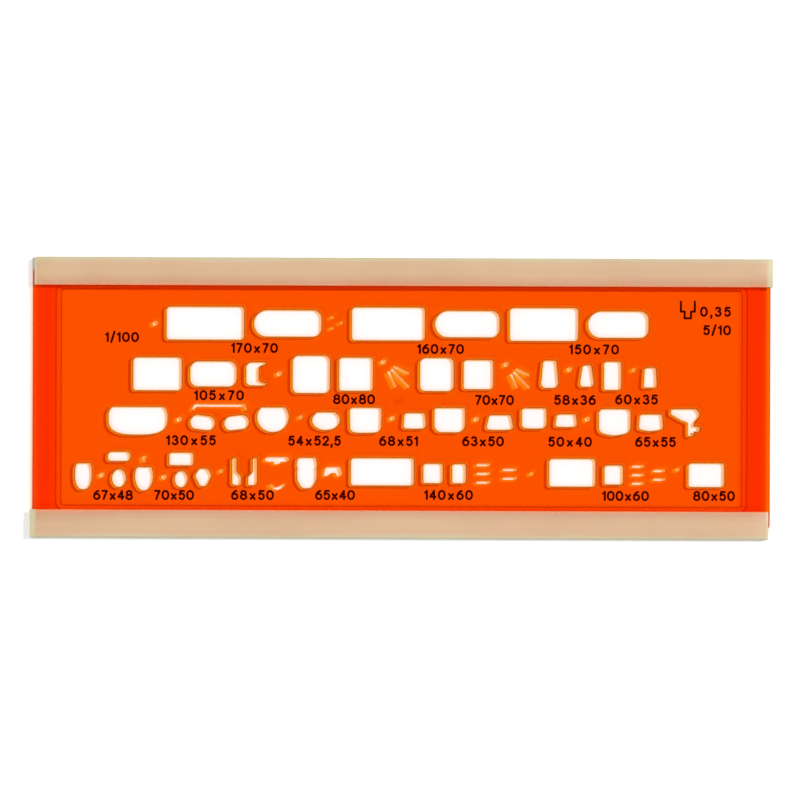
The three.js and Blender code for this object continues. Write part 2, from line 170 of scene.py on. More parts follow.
def ease_corners(ring: Array, radius: float, steps: int) -> Array:
    """Eases the sharp corners of a ring.

    A corner p between the directions u and v becomes the quadratic curve from p - radius u to
    p + radius v that p pulls. Other points stay.

    Args:
        ring: Points of the ring, N by 2.
        radius: How far from the corner the curve starts.
        steps: Points for each eased corner.

    Returns:
        The eased ring, M by 2.
    """
    chord = np.roll(ring, -1, axis=0) - ring
    ahead = chord / np.linalg.norm(chord, axis=1, keepdims=True)
    behind = np.roll(ahead, 1, axis=0)
    sharp = np.sum(ahead * behind, axis=1) < math.cos(SHARP_TURN)
    reach = np.where(sharp, radius, 0.0)[:, None, None]
    t = np.linspace(0, 1, steps)[None, :, None]
    curve = ring[:, None] - reach * (1 - t) ** 2 * behind[:, None] + reach * t**2 * ahead[:, None]
    keep = np.repeat(sharp[:, None], steps, axis=1)
    keep[:, 0] = True
    return curve[keep]


def quarter_round(radius: float, count: int) -> tuple[Array, Array]:
    """Gives a quarter round between two walls.

    With a from 0 to 90 degrees, its points lie radius (1 - sin a) from the one wall and
    radius (1 - cos a) from the other.

    Args:
        radius: The radius.
        count: How many points.

    Returns:
        The distances from the two walls.
    """
    turn = np.radians(np.linspace(0, 90, count))
    return radius * (1 - np.sin(turn)), radius * (1 - np.cos(turn))


def upright_wall(low: float, high: float, radius: float, count: int) -> Array:
    """Gives an upright wall with a quarter round at its foot and its head, from the foot up.

    Args:
        low: Height of the foot.
        high: Height of the head.
        radius: The radius of both.
        count: Points for each.

    Returns:
        Rows of how far the wall draws back, and height.
    """
    inset, rise = quarter_round(radius, count)
    foot = np.stack([inset, low + rise], axis=1)
    head = np.stack([rise, high - inset], axis=1)
    return np.concatenate([foot, head])


def fit_rows(rows: Rows, low: float, high: float) -> Array:
    """Scales the heights of a profile, so that they start from low and the last one is high.

    Args:
        rows: Rows of outward distance and height, from a height of zero.
        low: Where the heights start.
        high: The height of the last row.

    Returns:
        The rows with their new heights.
    """
    fitted = np.array(rows)
    fitted[:, 1] = low + fitted[:, 1] / fitted[-1, 1] * (high - low)
    return fitted


def lift(flat: Array, height: float) -> Array:
    """Gives points in the plane one height, as N by 3."""
    return np.column_stack([flat, np.full(len(flat), height)])


def put_in_scene(name: str, data: bpy.types.ID) -> bpy.types.Object:
    """Puts a new object into the scene, at the origin.

    Args:
        name: The object's name.
        data: Its mesh, lamp or camera.

    Returns:
        The object.
    """
    made = bpy.data.objects.new(name, data)
    bpy.context.scene.collection.objects.link(made)
    return made


@dataclass
class FrameNode:
    """The mesh of one node of the frame, with its doubles merged, in millimetres."""

    name: str
    points: Array = field(init=False)
    triangles: Array = field(init=False)

    def __post_init__(self) -> None:
        """Reads the node's points and triangles."""
        mesh = bpy.data.objects[self.name].data
        raw = np.empty(len(mesh.vertices) * 3, np.float32)
        mesh.vertices.foreach_get("co", raw)
        corners = np.empty(len(mesh.loops), np.int32)
        mesh.loops.foreach_get("vertex_index", corners)
        raw = np.round(raw.reshape(-1, 3).astype(float) / MM, 4)
        self.points, merged = np.unique(raw, axis=0, return_inverse=True)
        self.triangles = merged.reshape(-1)[corners].reshape(-1, 3)

    def busiest_level(self, low: float, high: float) -> float:
        """Finds the height between two others at which most of the points lie.

        Args:
            low: The lower height.
            high: The upper height.

        Returns:
            The height with the most points.
        """
        heights, counts = np.unique(np.round(self.points[:, 2], 3), return_counts=True)
        between = np.where((heights > low) & (heights < high), counts, 0)
        return float(heights[np.argmax(between)])

    def rings(self, axis: int, level: float) -> list[Array]:
        """Finds the rings round the flat face at one level.

        An edge of the face that is walked one way only is on a rim, and leads from a point to
        its follower. Pointer doubling then gives each point the least number on its ring, and
        the steps that are left from it to the ring's last point, and the points are sorted by
        these two.

        Args:
            axis: The axis that the face is square to.
            level: Where the face lies on it.

        Returns:
            The rings, anticlockwise, each N by 2 in the other two axes, the largest first.
        """
        away = np.abs(self.points[self.triangles][..., axis] - level)
        face = self.triangles[np.all(away < ON_LEVEL, axis=1)]
        edges = np.concatenate([face[:, [0, 1]], face[:, [1, 2]], face[:, [2, 0]]])
        total = len(self.points)
        one_way = ~np.isin(edges[:, 0] * total + edges[:, 1], edges[:, 1] * total + edges[:, 0])
        used, local = np.unique(edges[one_way], return_inverse=True)
        local = local.reshape(-1, 2)
        follower = np.empty(len(used), int)
        follower[local[:, 0]] = local[:, 1]
        doublings = int(math.ceil(math.log2(len(used)))) + 1
        ring = np.arange(len(used))
        hop = follower
        for _ in range(doublings):
            ring = np.minimum(ring, ring[hop])
            hop = hop[hop]
        last = follower == ring
        hop = np.where(last, np.arange(len(used)), follower)
        left = np.where(last, 0, 1)
        for _ in range(doublings):
            left = left + left[hop]
            hop = hop[hop]
        order = np.lexsort((-left, ring))
        cuts = np.flatnonzero(np.diff(ring[order])) + 1
        others = [a for a in range(3) if a != axis]
        found = np.split(self.points[used][order][:, others], cuts)
        whole = [self.without_specks(r) for r in found]
        turned = [r if self.area(r) > 0 else r[::-1] for r in whole]
        return sorted(turned, key=self.area, reverse=True)

    @staticmethod
    def without_specks(ring: Array) -> Array:
        """Drops the points that lie less than SPECK past the one before them."""
        chord = ring - np.roll(ring, 1, axis=0)
        return ring[np.linalg.norm(chord, axis=1) > SPECK]

    @staticmethod
    def area(ring: Array) -> float:
        """Gives a ring's area, half the sum of x y' - x' y, positive if it runs anticlockwise."""
        after = np.roll(ring, -1, axis=0)
        return 0.5 * float(np.sum(ring[:, 0] * after[:, 1] - after[:, 0] * ring[:, 1]))


@dataclass
class Surface:
    """Points and faces of one piece, gathered stretch by stretch, in millimetres."""

    points: list[Array] = field(default_factory=list)
    faces: list[list[int]] = field(default_factory=list)
    smooth: list[bool] = field(default_factory=list)
    total: int = 0

    def add(self, grid: Array) -> Array:
        """Takes in points.

        Args:
            grid: Points in any grid whose last axis is x, y and z.

        Returns:
            The points' numbers, in the grid's own shape.
        """
        flat = grid.reshape(-1, 3)
        numbers = self.total + np.arange(len(flat))
        self.points.append(flat)
        self.total += len(flat)
        return numbers.reshape(grid.shape[:-1])

    def face(self, corners: Array, smooth: bool) -> None:
        """Takes in faces, as rows of point numbers."""
        self.faces.extend(corners.tolist())
        self.smooth.extend([smooth] * len(corners))

    def lace(self, grid: Array) -> None:
        """Joins each row of a grid to the next with quads, round and round.

        Args:
            grid: Point numbers, a row for each ring.
        """
        after = np.roll(grid, -1, axis=1)
        quads = np.stack([grid[:-1], after[:-1], after[1:], grid[1:]], axis=-1)
        self.face(quads.reshape(-1, 4), True)

    def fan(self, ring: Array, pole: int) -> None:
        """Closes a ring of numbers on one point in its middle."""
        middle = np.full(len(ring), pole)
        self.face(np.stack([ring, np.roll(ring, -1), middle], axis=1), True)

    def fill(self, outer: Array, holes: list[Array], axes: tuple[int, int]) -> None:
        """Fills the flat face between an outer ring and its holes.

        The triangles are those of a constrained Delaunay net of the rings' points which lie
        inside the outer ring alone.

        Args:
            outer: Point numbers of the outer ring.
            holes: Point numbers of each hole's ring.
            axes: The two axes that the face lies along.
        """
        rings = [outer, *holes]
        numbers = np.concatenate(rings)
        flat = np.concatenate(self.points)[numbers][:, list(axes)]
        ends = np.cumsum([len(r) for r in rings])
        loops = [list(range(end - len(r), end)) for r, end in zip(rings, ends)]
        corners = [Vector(point) for point in flat.tolist()]
        net = delaunay_2d_cdt(corners, [], loops, FILL_INSIDE, SAME_PLACE)
        _, _, triangles, point_sources, _, loop_sources = net
        inside = np.array([t for t, own in zip(triangles, loop_sources) if own == [0]])
        source = np.array([own[0] for own in point_sources])
        self.face(numbers[source[inside]], False)

    def make(self, name: str) -> bpy.types.Object:
        """Makes the gathered surface an object, with its faces outwards.

        Args:
            name: The piece's name.

        Returns:
            The object, in the scene, at the origin.
        """
        mesh = bpy.data.meshes.new(name)
        mesh.from_pydata((np.concatenate(self.points) * MM).tolist(), [], self.faces)
        self.crease(mesh)
        form = bmesh.new()
        form.from_mesh(mesh)
        bmesh.ops.recalc_face_normals(form, faces=form.faces)
        open_edges = sum(1 for edge in form.edges if len(edge.link_faces) != 2)
        form.to_mesh(mesh)
        form.free()
        log.info("%s: %d points, %d faces, %d open edges", name, self.total, len(self.faces), open_edges)
        return put_in_scene(name, mesh)

    def crease(self, mesh: bpy.types.Mesh) -> None:
        """Shades all faces smooth, with a sharp edge wherever a flat face meets a curved one.

        Light keeps count of the plastic that it is in by surface kind, so one piece has only
        smooth faces, and the flat ones keep their look by the sharp edges round them.

        Args:
            mesh: The mesh, with its faces in the order gathered.
        """
        edges = np.empty(len(mesh.loops), np.int32)
        mesh.loops.foreach_get("edge_index", edges)
        sizes = np.array([len(face) for face in self.faces])
        curved = np.repeat(np.array(self.smooth), sizes)
        sides = np.bincount(edges[curved], minlength=len(mesh.edges))
        sharp = mesh.attributes.new("sharp_edge", "BOOLEAN", "EDGE")
        sharp.data.foreach_set("value", sides == 1)
        mesh.polygons.foreach_set("use_smooth", np.ones(len(self.faces), bool))


@dataclass(frozen=True)
class Grain:
    """A noise pattern: the factor on each axis, the spots to the metre and the finer layers."""

    stretch: tuple[float, float, float]
    scale: float
    detail: float


class Shading:
    """The node tree of one material or world, with a short way to add and join nodes."""

    def __init__(self, owner: bpy.types.Material | bpy.types.World) -> None:
        """Gives a material or world an empty node tree.

        Args:
            owner: The material or world.
        """
        owner.use_nodes = True
        self.tree = owner.node_tree
        self.tree.nodes.clear()

    def node(self, kind: str, inputs: dict[str | int, Feed], **settings: str) -> bpy.types.Node:
        """Adds a node.

        Args:
            kind: The node's type name.
            inputs: For each input, the socket that feeds it or its plain value.
            settings: The node's own options.

        Returns:
            The new node.
        """
        made = self.tree.nodes.new(kind)
        for name, value in settings.items():
            setattr(made, name, value)
        for name, value in inputs.items():
            if isinstance(value, bpy.types.NodeSocket):
                self.tree.links.new(value, made.inputs[name])
            else:
                made.inputs[name].default_value = value
        return made

    def math(self, operation: str, *values: Feed) -> Socket:
        """Adds a Math node on the given sockets or numbers, and gives its result."""
        return self.node("ShaderNodeMath", dict(enumerate(values)), operation=operation).outputs[0]

    def span(self, value: Socket, low: Feed, high: Feed, first: float, last: float) -> Socket:
        """Maps a value smoothly from one range to another.

        Args:
            value: The socket to map.
            low: Where the range starts, a number or a socket.
            high: Where it ends.
            first: The result at low.
            last: The result at high.

        Returns:
            The mapped value.
        """
        inputs = {"Value": value, "From Min": low, "From Max": high, "To Min": first, "To Max": last}
        made = self.node("ShaderNodeMapRange", inputs, interpolation_type="SMOOTHSTEP")
        return made.outputs["Result"]

    def axes(self) -> bpy.types.bpy_prop_collection:
        """Gives the X, Y and Z sockets of the piece's own coordinates."""
        place = self.node("ShaderNodeTexCoord", {}).outputs["Object"]
        return self.node("ShaderNodeSeparateXYZ", {"Vector": place}).outputs

    def noise(self, grain: Grain) -> Socket:
        """Adds noise on the piece's own coordinates.

        Args:
            grain: The pattern.

        Returns:
            The noise, about 0.5 on average.
        """
        place = self.node("ShaderNodeTexCoord", {}).outputs["Object"]
        drawn_out = self.node("ShaderNodeMapping", {"Vector": place, "Scale": grain.stretch})
        inputs = {"Vector": drawn_out.outputs["Vector"], "Scale": grain.scale, "Detail": grain.detail}
        return self.node("ShaderNodeTexNoise", inputs).outputs["Fac"]

    def past(self, half_x: float, half_y: float) -> Socket:
        """Gives how far a place lies past a rectangle round the middle, in metres.

        It is the larger of |x| - half_x and |y| - half_y, so it is negative inside.

        Args:
            half_x: Half the rectangle's length, in millimetres.
            half_y: Half its width, in millimetres.

        Returns:
            The distance.
        """
        axes = self.axes()
        past_x = self.math("SUBTRACT", self.math("ABSOLUTE", axes["X"]), half_x * MM)
        past_y = self.math("SUBTRACT", self.math("ABSOLUTE", axes["Y"]), half_y * MM)
        return self.math("MAXIMUM", past_x, past_y)

    def blend(self, share: Feed, first: Feed, second: Feed) -> Socket:
        """Mixes two colours, the second by its share; the node takes them at 6 and 7 and gives 2."""
        return self.node("ShaderNodeMix", {0: share, 6: first, 7: second}, data_type="RGBA").outputs[2]

    def layer(self, share: Feed, first: bpy.types.Node, second: bpy.types.Node) -> bpy.types.Node:
        """Mixes two surfaces, the second by its share."""
        return self.node("ShaderNodeMixShader", {0: share, 1: first.outputs[0], 2: second.outputs[0]})

    def ramp(self, factor: Socket, places: tuple[float, ...], colours: tuple[Colour, ...]) -> Socket:
        """Adds a colour ramp.

        Args:
            factor: The socket that picks the colour.
            places: Where each stop lies, in order.
            colours: The colour of each stop.

        Returns:
            The ramp's colour.
        """
        made = self.node("ShaderNodeValToRGB", {"Fac": factor})
        stops = made.color_ramp.elements
        while len(stops) < len(places):
            stops.new(0.5)
        for stop, place, colour in zip(stops, places, colours):
            stop.position = place
            stop.color = colour
        return made.outputs["Color"]


@dataclass(frozen=True)
class OrangePlastic:
    """Clear orange plastic: the colour grows with the depth of plastic that the light crosses.

    Steep faces are matt, as cut faces are, and painted with shade and light: cut, a painted brown
    shade line, on the walls of the wide cut-outs; slot, a painted yellow glow of the light through
    them, on those of the fine ones, which are steeper; and step, a painted dark red shade line, in
    the grooves and the outer rim of the border. How steep a face is goes by the upright part of its
    normal. The density counts to the metre.
    """

    tint: Colour = (1.0, 1.0, 0.8, 1.0)
    passed: Colour = (0.9985, 0.7524, 0.0, 1.0)
    density: float = 4200.0
    ior: float = 1.49
    gloss: Colour = (1.0, 0.05, 0.0, 1.0)
    rubbed: Grain = Grain((1, 1, 1), 160, 5)
    rubbed_at: Pair = (0.35, 0.7)
    roughness: Pair = (0.03, 0.10)
    ripple: Grain = Grain((0.35, 1, 1), 420, 3)
    scratch: Grain = Grain((25, 900, 1), 1, 4)
    scratch_share: float = 0.35
    bump: float = 0.004
    wall_passes: Colour = (0.5, 0.02, 0.0, 1.0)
    # painted on steep faces: cut and step are painted dark shade lines, slot is a painted yellow glow
    cut: Colour = (0.5, 0.15, 0.002, 1.0)
    slot: Colour = (1.0, 0.4, 0.02, 1.0)
    step: Colour = (0.5, 0.0, 0.0, 1.0)
    matt_share: float = 0.9
    steep_field: Pair = (0.3, 0.5)
    steep_border: Pair = (0.5, 1.0)
    fine_walls: Pair = (0.14, 0.16)
    field_x: float = 75.6
    field_y: float = 23.7

    def material(self) -> bpy.types.Material:
        """Makes the material: a glass-like skin with matt steep faces painted with shade and glow, round
        a tinted depth.

        Light on its way to another surface goes straight through, and what leaves by the wall
        of a wide cut-out keeps little but its red.

        Returns:
            The material.
        """
        made = bpy.data.materials.new("clear_orange_plastic")
        shade = Shading(made)
        face = shade.node("ShaderNodeNewGeometry", {}).outputs
        upright = shade.node("ShaderNodeSeparateXYZ", {"Vector": face["True Normal"]}).outputs["Z"]
        upright = shade.math("ABSOLUTE", upright)
        border = shade.math("GREATER_THAN", shade.past(self.field_x, self.field_y), 0.0)
        least, most = (
            shade.math("MULTIPLY_ADD", border, on_border - on_field, on_field)
            for on_field, on_border in zip(self.steep_field, self.steep_border)
        )
        steep = shade.span(upright, least, most, 1.0, 0.0)
        fine = shade.span(upright, *self.fine_walls, 1.0, 0.0)
        # painted shade and light: the matt colour of the steep faces, brown and dark red shade lines and
        # a yellow glow
        wall = shade.blend(border, shade.blend(fine, self.cut, self.slot), self.step)
        matt = shade.node("ShaderNodeBsdfDiffuse", {"Color": wall})
        surface = shade.layer(shade.math("MULTIPLY", steep, self.matt_share), self.skin(shade), matt)
        wide = shade.math("SUBTRACT", 1.0, shade.math("MAXIMUM", border, fine))
        leaving = shade.math("MULTIPLY", shade.math("MULTIPLY", steep, face["Backfacing"]), wide)
        passes = shade.blend(leaving, WHITE, self.wall_passes)
        straight = shade.node("ShaderNodeBsdfTransparent", {"Color": passes})
        ray = shade.node("ShaderNodeLightPath", {}).outputs
        lighting = shade.math("MAXIMUM", ray["Is Shadow Ray"], ray["Is Diffuse Ray"])
        both = shade.layer(lighting, surface, straight)
        depth = {"Color": self.passed, "Density": self.density}
        inside = shade.node("ShaderNodeVolumeAbsorption", depth)
        ends = {"Surface": both.outputs[0], "Volume": inside.outputs["Volume"]}
        shade.node("ShaderNodeOutputMaterial", ends)
        return made

    def skin(self, shade: Shading) -> bpy.types.Node:
        """Makes the glass-like skin, with faint ripples, fine scratches and rubbed patches.

        Args:
            shade: The material's nodes.

        Returns:
            The skin.
        """
        rubbed = shade.noise(self.rubbed)
        ripple = shade.noise(self.ripple)
        scratch = shade.noise(self.scratch)
        relief = shade.math("MULTIPLY_ADD", scratch, self.scratch_share, ripple)
        bump = shade.node("ShaderNodeBump", {"Height": relief, "Distance": self.bump * MM})
        return shade.node(
            "ShaderNodeBsdfPrincipled",
            {
                "Base Color": self.tint,
                "Transmission Weight": 1.0,
                "IOR": self.ior,
                "Specular Tint": self.gloss,
                "Roughness": shade.span(rubbed, *self.rubbed_at, *self.roughness),
                "Normal": bump.outputs["Normal"],
            },
        )


@dataclass(frozen=True)
class IvoryPlastic:
    """Satin ivory plastic, with the orange light of the plate under it painted into its upper lip.

    The colours lie across the rail at the shares given of the way from lip_at to back_at: edge, lip
    and middle are the plate's orange glow painted onto the ivory, strongest at the lip's edge, and
    back lies close to the ivory's own cream. Past the plate's ends and below the plate the rail
    takes bare, its own colour with no painted glow. The painted glow is fixed to the rail and
    slides with it. The thin lips let a little reddish light through to what lies under them. Both
    noise patterns are read over noise_at, from their low to their high values.
    """

    edge: Colour = linear(230, 150, 104)
    lip: Colour = linear(208, 159, 124)
    middle: Colour = linear(214, 177, 140)
    back: Colour = linear(207, 191, 154)
    bare: Colour = linear(211, 203, 163)
    shares: tuple[float, ...] = (0.02, 0.12, 0.45, 0.82, 0.93)
    lip_at: float = 25.084
    back_at: float = 31.334
    bare_from: float = 81.2
    bare_at: float = 82.2
    bare_under: float = 1.75
    noise_at: Pair = (0.3, 0.7)
    drawn: Grain = Grain((12, 2600, 2600), 1, 3)
    drawn_tone: Pair = (0.975, 1.02)
    cloud: Grain = Grain((0.4, 1, 1), 120, 4)
    cloud_tone: Pair = (-0.015, 0.015)
    wander: float = 1.6
    roughness: Pair = (0.36, 0.52)
    bump: float = 0.01
    bump_share: float = 0.6
    ior: float = 1.5
    milky: float = 0.25
    milky_depth: float = 1.0
    milky_colour: tuple[float, float, float] = (1.0, 0.6, 0.35)
    lip_passes: Colour = (0.62, 0.31, 0.17, 1.0)
    thin_until: float = 28.2
    thick_from: float = 29.6

    def material(self) -> bpy.types.Material:
        """Makes the material: the plate's orange glow painted across the upper lip, cream elsewhere,
        drawn lines along.

        The lips let a little reddish light through, and the back and the ends let none.

        Returns:
            The material.
        """
        made = bpy.data.materials.new("satin_ivory_plastic")
        shade = Shading(made)
        axes = shade.axes()
        across = shade.math("ABSOLUTE", axes["Y"])
        along = shade.math("ABSOLUTE", axes["X"])
        drawn = shade.noise(self.drawn)
        cloud = shade.noise(self.cloud)
        wander = shade.math("MULTIPLY_ADD", cloud, self.wander * MM, -self.wander / 2 * MM)
        depth = shade.math("SUBTRACT", shade.math("ADD", across, wander), self.lip_at * MM)
        share = shade.math("DIVIDE", depth, (self.back_at - self.lip_at) * MM)
        # painted light: the orange glow of the plate under the upper lip, painted into the colour across
        # the rail
        colours = (self.edge, self.lip, self.middle, self.middle, self.back)
        painted_plate_glow = shade.ramp(share, self.shares, colours)
        # past the plate's ends and below the plate the painted glow gives way to the bare colour
        end = shade.span(along, self.bare_from * MM, self.bare_at * MM, 0.0, 1.0)
        under = shade.math("LESS_THAN", axes["Z"], self.bare_under * MM)
        mixed = shade.blend(shade.math("MAXIMUM", end, under), painted_plate_glow, self.bare)
        drawn_tone = shade.span(drawn, *self.noise_at, *self.drawn_tone)
        cloud_tone = shade.span(cloud, *self.noise_at, *self.cloud_tone)
        tone = shade.math("ADD", drawn_tone, cloud_tone)
        colour = shade.node("ShaderNodeVectorMath", {0: mixed, "Scale": tone}, operation="SCALE")
        relief = {"Height": drawn, "Distance": self.bump * MM, "Strength": self.bump_share}
        surface = shade.node(
            "ShaderNodeBsdfPrincipled",
            {
                "Base Color": colour.outputs[0],
                "Roughness": shade.span(cloud, *self.noise_at, *self.roughness),
                "IOR": self.ior,
                "Subsurface Weight": self.milky,
                "Subsurface Radius": self.milky_colour,
                "Subsurface Scale": self.milky_depth * MM,
                "Normal": shade.node("ShaderNodeBump", relief).outputs["Normal"],
            },
        )
        back = shade.span(across, self.thin_until * MM, self.thick_from * MM, 0.0, 1.0)
        passes = shade.blend(shade.math("MAXIMUM", back, end), self.lip_passes, BLACK)
        through = shade.node("ShaderNodeBsdfTransparent", {"Color": passes})
        lighting = shade.node("ShaderNodeLightPath", {}).outputs["Is Shadow Ray"]
        both = shade.layer(lighting, surface, through)
        shade.node("ShaderNodeOutputMaterial", {"Surface": both.outputs[0]})
        return made


@dataclass(frozen=True)
class PrintInk:
    """Dense black ink with the red under it showing through a little."""

    dense: Colour = linear(48, 0, 0)
    thin: Colour = linear(90, 0, 0)
    cover: Grain = Grain((1, 1, 1), 1500, 3)
    cover_at: Pair = (0.42, 0.75)
    roughness: float = 0.6
    gloss: float = 0.0

    def material(self) -> bpy.types.Material:
        """Makes the material: near black, thinner in places.

        Returns:
            The material.
        """
        made = bpy.data.materials.new("print_ink")
        shade = Shading(made)
        colour = shade.ramp(shade.noise(self.cover), self.cover_at, (self.dense, self.thin))
        surface = shade.node(
            "ShaderNodeBsdfPrincipled",
            {"Base Color": colour, "Roughness": self.roughness, "Specular IOR Level": self.gloss},
        )
        shade.node("ShaderNodeOutputMaterial", {"Surface": surface.outputs["BSDF"]})
        return made


@dataclass(frozen=True)
class PaleFloor:
    """Plain white floor that keeps the shadows under the object, with painted light lifting its shade
    round it.
    """

    colour: Colour = (0.97, 0.97, 0.97, 1.0)
    painted_glow_level: float = 0.38
    half: float = 1500.0
    corners: int = 9
    level: float = -0.02
    shaded_x: float = 82.4
    shaded_y: float = 31.3
    fade: float = 0.6

    def build(self) -> bpy.types.Object:
        """Makes the floor, a flat sheet of squares just under the rails.

        Returns:
            The floor.
        """
        line = np.linspace(-self.half, self.half, self.corners)
        x, y = np.meshgrid(line, line, indexing="ij")
        grid = np.arange(x.size).reshape(x.shape)
        quads = np.stack([grid[:-1, :-1], grid[1:, :-1], grid[1:, 1:], grid[:-1, 1:]], axis=-1)
        points = np.stack([x, y, np.full_like(x, self.level)], axis=-1).reshape(-1, 3) * MM
        mesh = bpy.data.meshes.new("floor")
        mesh.from_pydata(points.tolist(), [], quads.reshape(-1, 4).tolist())
        mesh.materials.append(self.material())
        floor = put_in_scene("floor", mesh)
        return floor

    def material(self) -> bpy.types.Material:
        """Makes the material: matt white, with a painted glow that lifts its shade round the object for
        the rays that show it.

        Returns:
            The material.
        """
        made = bpy.data.materials.new("pale_floor")
        shade = Shading(made)
        ray = shade.node("ShaderNodeLightPath", {}).outputs
        seen = shade.math("MAXIMUM", ray["Is Camera Ray"], ray["Is Glossy Ray"])
        seen = shade.math("MAXIMUM", seen, ray["Is Transmission Ray"])
        # painted light: no glow in a rectangle round the object, rising over fade past it, which lifts
        # the object's shadows on the floor outside
        away = shade.past(self.shaded_x, self.shaded_y)
        clear = shade.span(away, 0.0, self.fade * MM, 0.0, self.painted_glow_level)
        matt = shade.node("ShaderNodeBsdfDiffuse", {"Color": self.colour})
        glow = shade.node("ShaderNodeEmission", {"Strength": shade.math("MULTIPLY", seen, clear)})
        both = shade.node("ShaderNodeAddShader", {0: matt.outputs[0], 1: glow.outputs[0]})
        shade.node("ShaderNodeOutputMaterial", {"Surface": both.outputs[0]})
        return made


@dataclass(frozen=True)
class SoftSky:
    """Soft white light from all round, stronger from above."""

    level: float = 0.2
    zenith: float = 0.42

    def build(self) -> None:
        """Lights the world with level at the horizon, rising with the sine of the height."""
        world = bpy.data.worlds.new("soft_sky")
        bpy.context.scene.world = world
        shade = Shading(world)
        direction = shade.node("ShaderNodeTexCoord", {}).outputs["Generated"]
        height = shade.node("ShaderNodeSeparateXYZ", {"Vector": direction}).outputs["Z"]
        strength = shade.math("MULTIPLY_ADD", height, self.zenith - self.level, self.level)
        light = shade.node("ShaderNodeBackground", {"Color": WHITE, "Strength": strength})
        shade.node("ShaderNodeOutputWorld", {"Surface": light.outputs[0]})


@dataclass(frozen=True)
class SideLamp:
    """A wide soft lamp: its rise above the floor and its turn round from the right, in degrees."""

    name: str
    rise: float
    turn: float
    spread: float
    strength: float

    def build(self) -> None:
        """Hangs the lamp far off, shining on the middle."""
        data = bpy.data.lights.new(self.name, "SUN")
        data.energy = self.strength
        data.angle = math.radians(self.spread)
        lamp = put_in_scene(self.name, data)
        lamp.rotation_euler = (0, math.radians(90 - self.rise), math.radians(self.turn))


LAMPS: tuple[SideLamp, ...] = (
    SideLamp("right_lamp", 62.0, 24.0, 7.0, 2.15),
    SideLamp("left_lamp", 60.0, 228.0, 12.0, 0.45),
)


@dataclass(frozen=True)
class Viewpoint:
    """A camera straight above, far off with a long lens, square to the sheet."""

    pixels: float = 800.0
    pixels_per_mm: float = 4.474
    middle: Pair = (401.4, 398.3)
    turn: float = 0.22
    lens: float = 400.0
    sensor: float = 36.0
    plane: float = 2.0
    farthest: float = 100000.0

    def build(self) -> None:
        """Puts the camera where the frame's origin falls on the middle given, turned a little."""
        data = bpy.data.cameras.new("camera")
        data.lens = self.lens
        data.sensor_width = self.sensor
        data.clip_end = self.farthest * MM
        camera = put_in_scene("camera", data)
        height = self.pixels / self.pixels_per_mm * self.lens / self.sensor + self.plane
        right = (self.pixels / 2 - self.middle[0]) / self.pixels_per_mm
        up = (self.middle[1] - self.pixels / 2) / self.pixels_per_mm
        turn = math.radians(self.turn)
        camera.location = (
            (right * math.cos(turn) - up * math.sin(turn)) * MM,
            (right * math.sin(turn) + up * math.cos(turn)) * MM,
            height * MM,
        )
        camera.rotation_euler = (0, 0, turn)
        bpy.context.scene.camera = camera


def dress(piece: bpy.types.Object, material: bpy.types.Material, body: str) -> None:
    """Gives a piece its material and the body that it rides on.

    Args:
        piece: The new piece.
        material: Its finish.
        body: The body that it moves with.
    """
    piece.data.materials.append(material)
    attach(piece, body)


@dataclass(frozen=True)
class RoundMark:
    """A low round mark of the mould on the field: where it lies and its rings from the rim in."""

    x: float
    y: float
    rings: Rows
    around: int = 40


